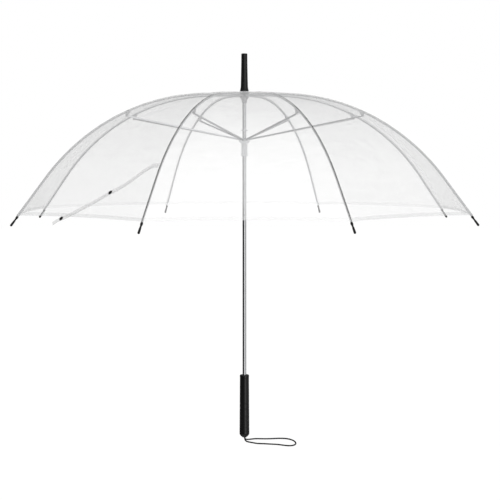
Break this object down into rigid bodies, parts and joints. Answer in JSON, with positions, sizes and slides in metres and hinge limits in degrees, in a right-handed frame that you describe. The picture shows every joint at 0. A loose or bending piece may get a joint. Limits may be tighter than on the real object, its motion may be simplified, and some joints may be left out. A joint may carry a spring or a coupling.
{
  "type": "umbrella",
  "caption": "Open straight umbrella: clear domed film over hinged steel ribs and stretchers, sliding runner on a slim shaft, black grip with wrist cord.",
  "frame": {"origin": "middle of the hand grip, on the shaft's axis", "axes": "+Z along the shaft towards the ferrule; the closure strap lies on the side towards -X and -Y"},
  "size_m": [0.9332, 0.9332, 0.8325],
  "materials": {
    "chromed_steel": "polished",
    "spring_steel": "satin",
    "black_plastic": "semi-gloss",
    "grip_plastic": "satin",
    "grip_trim": "semi-gloss",
    "smoke_plastic": "translucent grey",
    "milky_plastic": "translucent white",
    "clear_plastic": "clear",
    "clear_film": "clear, slightly hazy",
    "patch_film": "clear, slightly hazy",
    "strap_film": "clear, slightly hazy",
    "snap_plastic": "semi-gloss",
    "cord_textile": "braided",
    "rib_steel": "satin zinc",
    "outer_rib_steel": "dark satin",
    "stretcher_steel": "satin zinc"
  },
  "bodies": {
    "shaft": {"shaft_tube": "chromed_steel", "ferrule": "black_plastic", "crown": "smoke_plastic", "crown_wire": "spring_steel", "crown_pin": "spring_steel", "top_washer": "clear_plastic", "apex_patch": "patch_film", "stop_ring": "milky_plastic", "grip": "grip_plastic", "grip_collar": "grip_trim", "grip_end_cap": "grip_trim", "cord_knot": "cord_textile", "wrist_cord": "cord_textile"},
    "runner": {"runner_sleeve": "milky_plastic", "runner_wire": "spring_steel"},
    "top_catch_spring": {"top_catch": "spring_steel"},
    "bottom_catch_spring": {"bottom_catch": "spring_steel"},
    "inner_arm_1": {"rib_inner_1": "rib_steel", "canopy_gore_1": "clear_film"},
    "outer_arm_1": {"rib_outer_1": "outer_rib_steel", "rib_tip_1": "black_plastic", "closure_strap": "strap_film", "strap_snap_stud": "snap_plastic", "strap_snap_socket": "snap_plastic"},
    "stretcher_arm_1": {"stretcher_1": "stretcher_steel"},
    "inner_arm_2": {"rib_inner_2": "rib_steel", "canopy_gore_2": "clear_film"},
    "outer_arm_2": {"rib_outer_2": "outer_rib_steel", "rib_tip_2": "black_plastic"},
    "stretcher_arm_2": {"stretcher_2": "stretcher_steel"},
    "inner_arm_3": {"rib_inner_3": "rib_steel", "canopy_gore_3": "clear_film"},
    "outer_arm_3": {"rib_outer_3": "outer_rib_steel", "rib_tip_3": "black_plastic"},
    "stretcher_arm_3": {"stretcher_3": "stretcher_steel"},
    "inner_arm_4": {"rib_inner_4": "rib_steel", "canopy_gore_4": "clear_film"},
    "outer_arm_4": {"rib_outer_4": "outer_rib_steel", "rib_tip_4": "black_plastic"},
    "stretcher_arm_4": {"stretcher_4": "stretcher_steel"},
    "inner_arm_5": {"rib_inner_5": "rib_steel", "canopy_gore_5": "clear_film"},
    "outer_arm_5": {"rib_outer_5": "outer_rib_steel", "rib_tip_5": "black_plastic"},
    "stretcher_arm_5": {"stretcher_5": "stretcher_steel"},
    "inner_arm_6": {"rib_inner_6": "rib_steel", "canopy_gore_6": "clear_film"},
    "outer_arm_6": {"rib_outer_6": "outer_rib_steel", "rib_tip_6": "black_plastic"},
    "stretcher_arm_6": {"stretcher_6": "stretcher_steel"},
    "inner_arm_7": {"rib_inner_7": "rib_steel", "canopy_gore_7": "clear_film"},
    "outer_arm_7": {"rib_outer_7": "outer_rib_steel", "rib_tip_7": "black_plastic"},
    "stretcher_arm_7": {"stretcher_7": "stretcher_steel"},
    "inner_arm_8": {"rib_inner_8": "rib_steel", "canopy_gore_8": "clear_film"},
    "outer_arm_8": {"rib_outer_8": "outer_rib_steel", "rib_tip_8": "black_plastic"},
    "stretcher_arm_8": {"stretcher_8": "stretcher_steel"}
  },
  "joints": [
    {"name": "canopy_fold", "type": "hinge", "parent": "shaft", "child": "inner_arm_1", "pos_m": [-0.00325, -0.00785, 0.666], "axis": [0.9239, -0.3827, 0], "range_deg": [0, 76.52], "deforming": ["canopy_gore_1"]},
    {"name": "rib_fold_2", "type": "hinge", "parent": "shaft", "child": "inner_arm_2", "pos_m": [0.00325, -0.00785, 0.666], "axis": [0.9239, 0.3827, 0], "range_deg": [0, 76.52], "deforming": ["canopy_gore_2"]},
    {"name": "rib_fold_3", "type": "hinge", "parent": "shaft", "child": "inner_arm_3", "pos_m": [0.00785, -0.00325, 0.666], "axis": [0.3827, 0.9239, 0], "range_deg": [0, 76.52], "deforming": ["canopy_gore_3"]},
    {"name": "rib_fold_4", "type": "hinge", "parent": "shaft", "child": "inner_arm_4", "pos_m": [0.00785, 0.00325, 0.666], "axis": [-0.3827, 0.9239, 0], "range_deg": [0, 76.52], "deforming": ["canopy_gore_4"]},
    {"name": "rib_fold_5", "type": "hinge", "parent": "shaft", "child": "inner_arm_5", "pos_m": [0.00325, 0.00785, 0.666], "axis": [-0.9239, 0.3827, 0], "range_deg": [0, 76.52], "deforming": ["canopy_gore_5"]},
    {"name": "rib_fold_6", "type": "hinge", "parent": "shaft", "child": "inner_arm_6", "pos_m": [-0.00325, 0.00785, 0.666], "axis": [-0.9239, -0.3827, 0], "range_deg": [0, 76.52], "deforming": ["canopy_gore_6"]},
    {"name": "rib_fold_7", "type": "hinge", "parent": "shaft", "child": "inner_arm_7", "pos_m": [-0.00785, 0.00325, 0.666], "axis": [-0.3827, -0.9239, 0], "range_deg": [0, 76.52], "deforming": ["canopy_gore_7"]},
    {"name": "rib_fold_8", "type": "hinge", "parent": "shaft", "child": "inner_arm_8", "pos_m": [-0.00785, -0.00325, 0.666], "axis": [0.3827, -0.9239, 0], "range_deg": [0, 76.52], "deforming": ["canopy_gore_8"]},
    {"name": "rib_flex_1", "type": "hinge", "parent": "inner_arm_1", "child": "outer_arm_1", "pos_m": [-0.09996, -0.24133, 0.62724], "axis": [0.9239, -0.3827, 0], "range_deg": [-28.91, 0], "deforming": ["closure_strap", "strap_snap_stud", "strap_snap_socket"]},
    {"name": "stretcher_turn_1", "type": "hinge", "parent": "inner_arm_1", "child": "stretcher_arm_1", "pos_m": [-0.09996, -0.24133, 0.61924], "axis": [0.9239, -0.3827, 0], "range_deg": [-153.04, 0]},
    {"name": "rib_flex_2", "type": "hinge", "parent": "inner_arm_2", "child": "outer_arm_2", "pos_m": [0.09996, -0.24133, 0.62724], "axis": [0.9239, 0.3827, 0], "range_deg": [-28.91, 0]},
    {"name": "stretcher_turn_2", "type": "hinge", "parent": "inner_arm_2", "child": "stretcher_arm_2", "pos_m": [0.09996, -0.24133, 0.61924], "axis": [0.9239, 0.3827, 0], "range_deg": [-153.04, 0]},
    {"name": "rib_flex_3", "type": "hinge", "parent": "inner_arm_3", "child": "outer_arm_3", "pos_m": [0.24133, -0.09996, 0.62724], "axis": [0.3827, 0.9239, 0], "range_deg": [-28.91, 0]},
    {"name": "stretcher_turn_3", "type": "hinge", "parent": "inner_arm_3", "child": "stretcher_arm_3", "pos_m": [0.24133, -0.09996, 0.61924], "axis": [0.3827, 0.9239, 0], "range_deg": [-153.04, 0]},
    {"name": "rib_flex_4", "type": "hinge", "parent": "inner_arm_4", "child": "outer_arm_4", "pos_m": [0.24133, 0.09996, 0.62724], "axis": [-0.3827, 0.9239, 0], "range_deg": [-28.91, 0]},
    {"name": "stretcher_turn_4", "type": "hinge", "parent": "inner_arm_4", "child": "stretcher_arm_4", "pos_m": [0.24133, 0.09996, 0.61924], "axis": [-0.3827, 0.9239, 0], "range_deg": [-153.04, 0]},
    {"name": "rib_flex_5", "type": "hinge", "parent": "inner_arm_5", "child": "outer_arm_5", "pos_m": [0.09996, 0.24133, 0.62724], "axis": [-0.9239, 0.3827, 0], "range_deg": [-28.91, 0]},
    {"name": "stretcher_turn_5", "type": "hinge", "parent": "inner_arm_5", "child": "stretcher_arm_5", "pos_m": [0.09996, 0.24133, 0.61924], "axis": [-0.9239, 0.3827, 0], "range_deg": [-153.04, 0]},
    {"name": "rib_flex_6", "type": "hinge", "parent": "inner_arm_6", "child": "outer_arm_6", "pos_m": [-0.09996, 0.24133, 0.62724], "axis": [-0.9239, -0.3827, 0], "range_deg": [-28.91, 0]},
    {"name": "stretcher_turn_6", "type": "hinge", "parent": "inner_arm_6", "child": "stretcher_arm_6", "pos_m": [-0.09996, 0.24133, 0.61924], "axis": [-0.9239, -0.3827, 0], "range_deg": [-153.04, 0]},
    {"name": "rib_flex_7", "type": "hinge", "parent": "inner_arm_7", "child": "outer_arm_7", "pos_m": [-0.24133, 0.09996, 0.62724], "axis": [-0.3827, -0.9239, 0], "range_deg": [-28.91, 0]},
    {"name": "stretcher_turn_7", "type": "hinge", "parent": "inner_arm_7", "child": "stretcher_arm_7", "pos_m": [-0.24133, 0.09996, 0.61924], "axis": [-0.3827, -0.9239, 0], "range_deg": [-153.04, 0]},
    {"name": "rib_flex_8", "type": "hinge", "parent": "inner_arm_8", "child": "outer_arm_8", "pos_m": [-0.24133, -0.09996, 0.62724], "axis": [0.3827, -0.9239, 0], "range_deg": [-28.91, 0]},
    {"name": "stretcher_turn_8", "type": "hinge", "parent": "inner_arm_8", "child": "stretcher_arm_8", "pos_m": [-0.24133, -0.09996, 0.61924], "axis": [0.3827, -0.9239, 0], "range_deg": [-153.04, 0]},
    {"name": "runner_slide", "type": "hinge", "parent": "stretcher_arm_1", "child": "runner", "pos_m": [-0.00325, -0.00785, 0.57248], "axis": [0.9239, -0.3827, 0], "range_deg": [0, 76.52]},
    {"name": "top_catch_press", "type": "slide", "parent": "shaft", "child": "top_catch_spring", "axis": [0, -1, 0], "range_m": [0, 0.0026], "stiffness_N_per_m": 300},
    {"name": "bottom_catch_press", "type": "slide", "parent": "shaft", "child": "bottom_catch_spring", "axis": [0, -1, 0], "range_m": [0, 0.0026], "stiffness_N_per_m": 300}
  ],
  "couplings": [
    {"joint": "rib_fold_2", "follows": "canopy_fold", "ratio": 1},
    {"joint": "rib_fold_3", "follows": "canopy_fold", "ratio": 1},
    {"joint": "rib_fold_4", "follows": "canopy_fold", "ratio": 1},
    {"joint": "rib_fold_5", "follows": "canopy_fold", "ratio": 1},
    {"joint": "rib_fold_6", "follows": "canopy_fold", "ratio": 1},
    {"joint": "rib_fold_7", "follows": "canopy_fold", "ratio": 1},
    {"joint": "rib_fold_8", "follows": "canopy_fold", "ratio": 1},
    {"joint": "rib_flex_1", "follows": "canopy_fold", "ratio": -0.37769},
    {"joint": "stretcher_turn_1", "follows": "canopy_fold", "ratio": -2},
    {"joint": "rib_flex_2", "follows": "canopy_fold", "ratio": -0.37769},
    {"joint": "stretcher_turn_2", "follows": "canopy_fold", "ratio": -2},
    {"joint": "rib_flex_3", "follows": "canopy_fold", "ratio": -0.37769},
    {"joint": "stretcher_turn_3", "follows": "canopy_fold", "ratio": -2},
    {"joint": "rib_flex_4", "follows": "canopy_fold", "ratio": -0.37769},
    {"joint": "stretcher_turn_4", "follows": "canopy_fold", "ratio": -2},
    {"joint": "rib_flex_5", "follows": "canopy_fold", "ratio": -0.37769},
    {"joint": "stretcher_turn_5", "follows": "canopy_fold", "ratio": -2},
    {"joint": "rib_flex_6", "follows": "canopy_fold", "ratio": -0.37769},
    {"joint": "stretcher_turn_6", "follows": "canopy_fold", "ratio": -2},
    {"joint": "rib_flex_7", "follows": "canopy_fold", "ratio": -0.37769},
    {"joint": "stretcher_turn_7", "follows": "canopy_fold", "ratio": -2},
    {"joint": "rib_flex_8", "follows": "canopy_fold", "ratio": -0.37769},
    {"joint": "stretcher_turn_8", "follows": "canopy_fold", "ratio": -2},
    {"joint": "runner_slide", "follows": "canopy_fold", "ratio": 1}
  ]
}
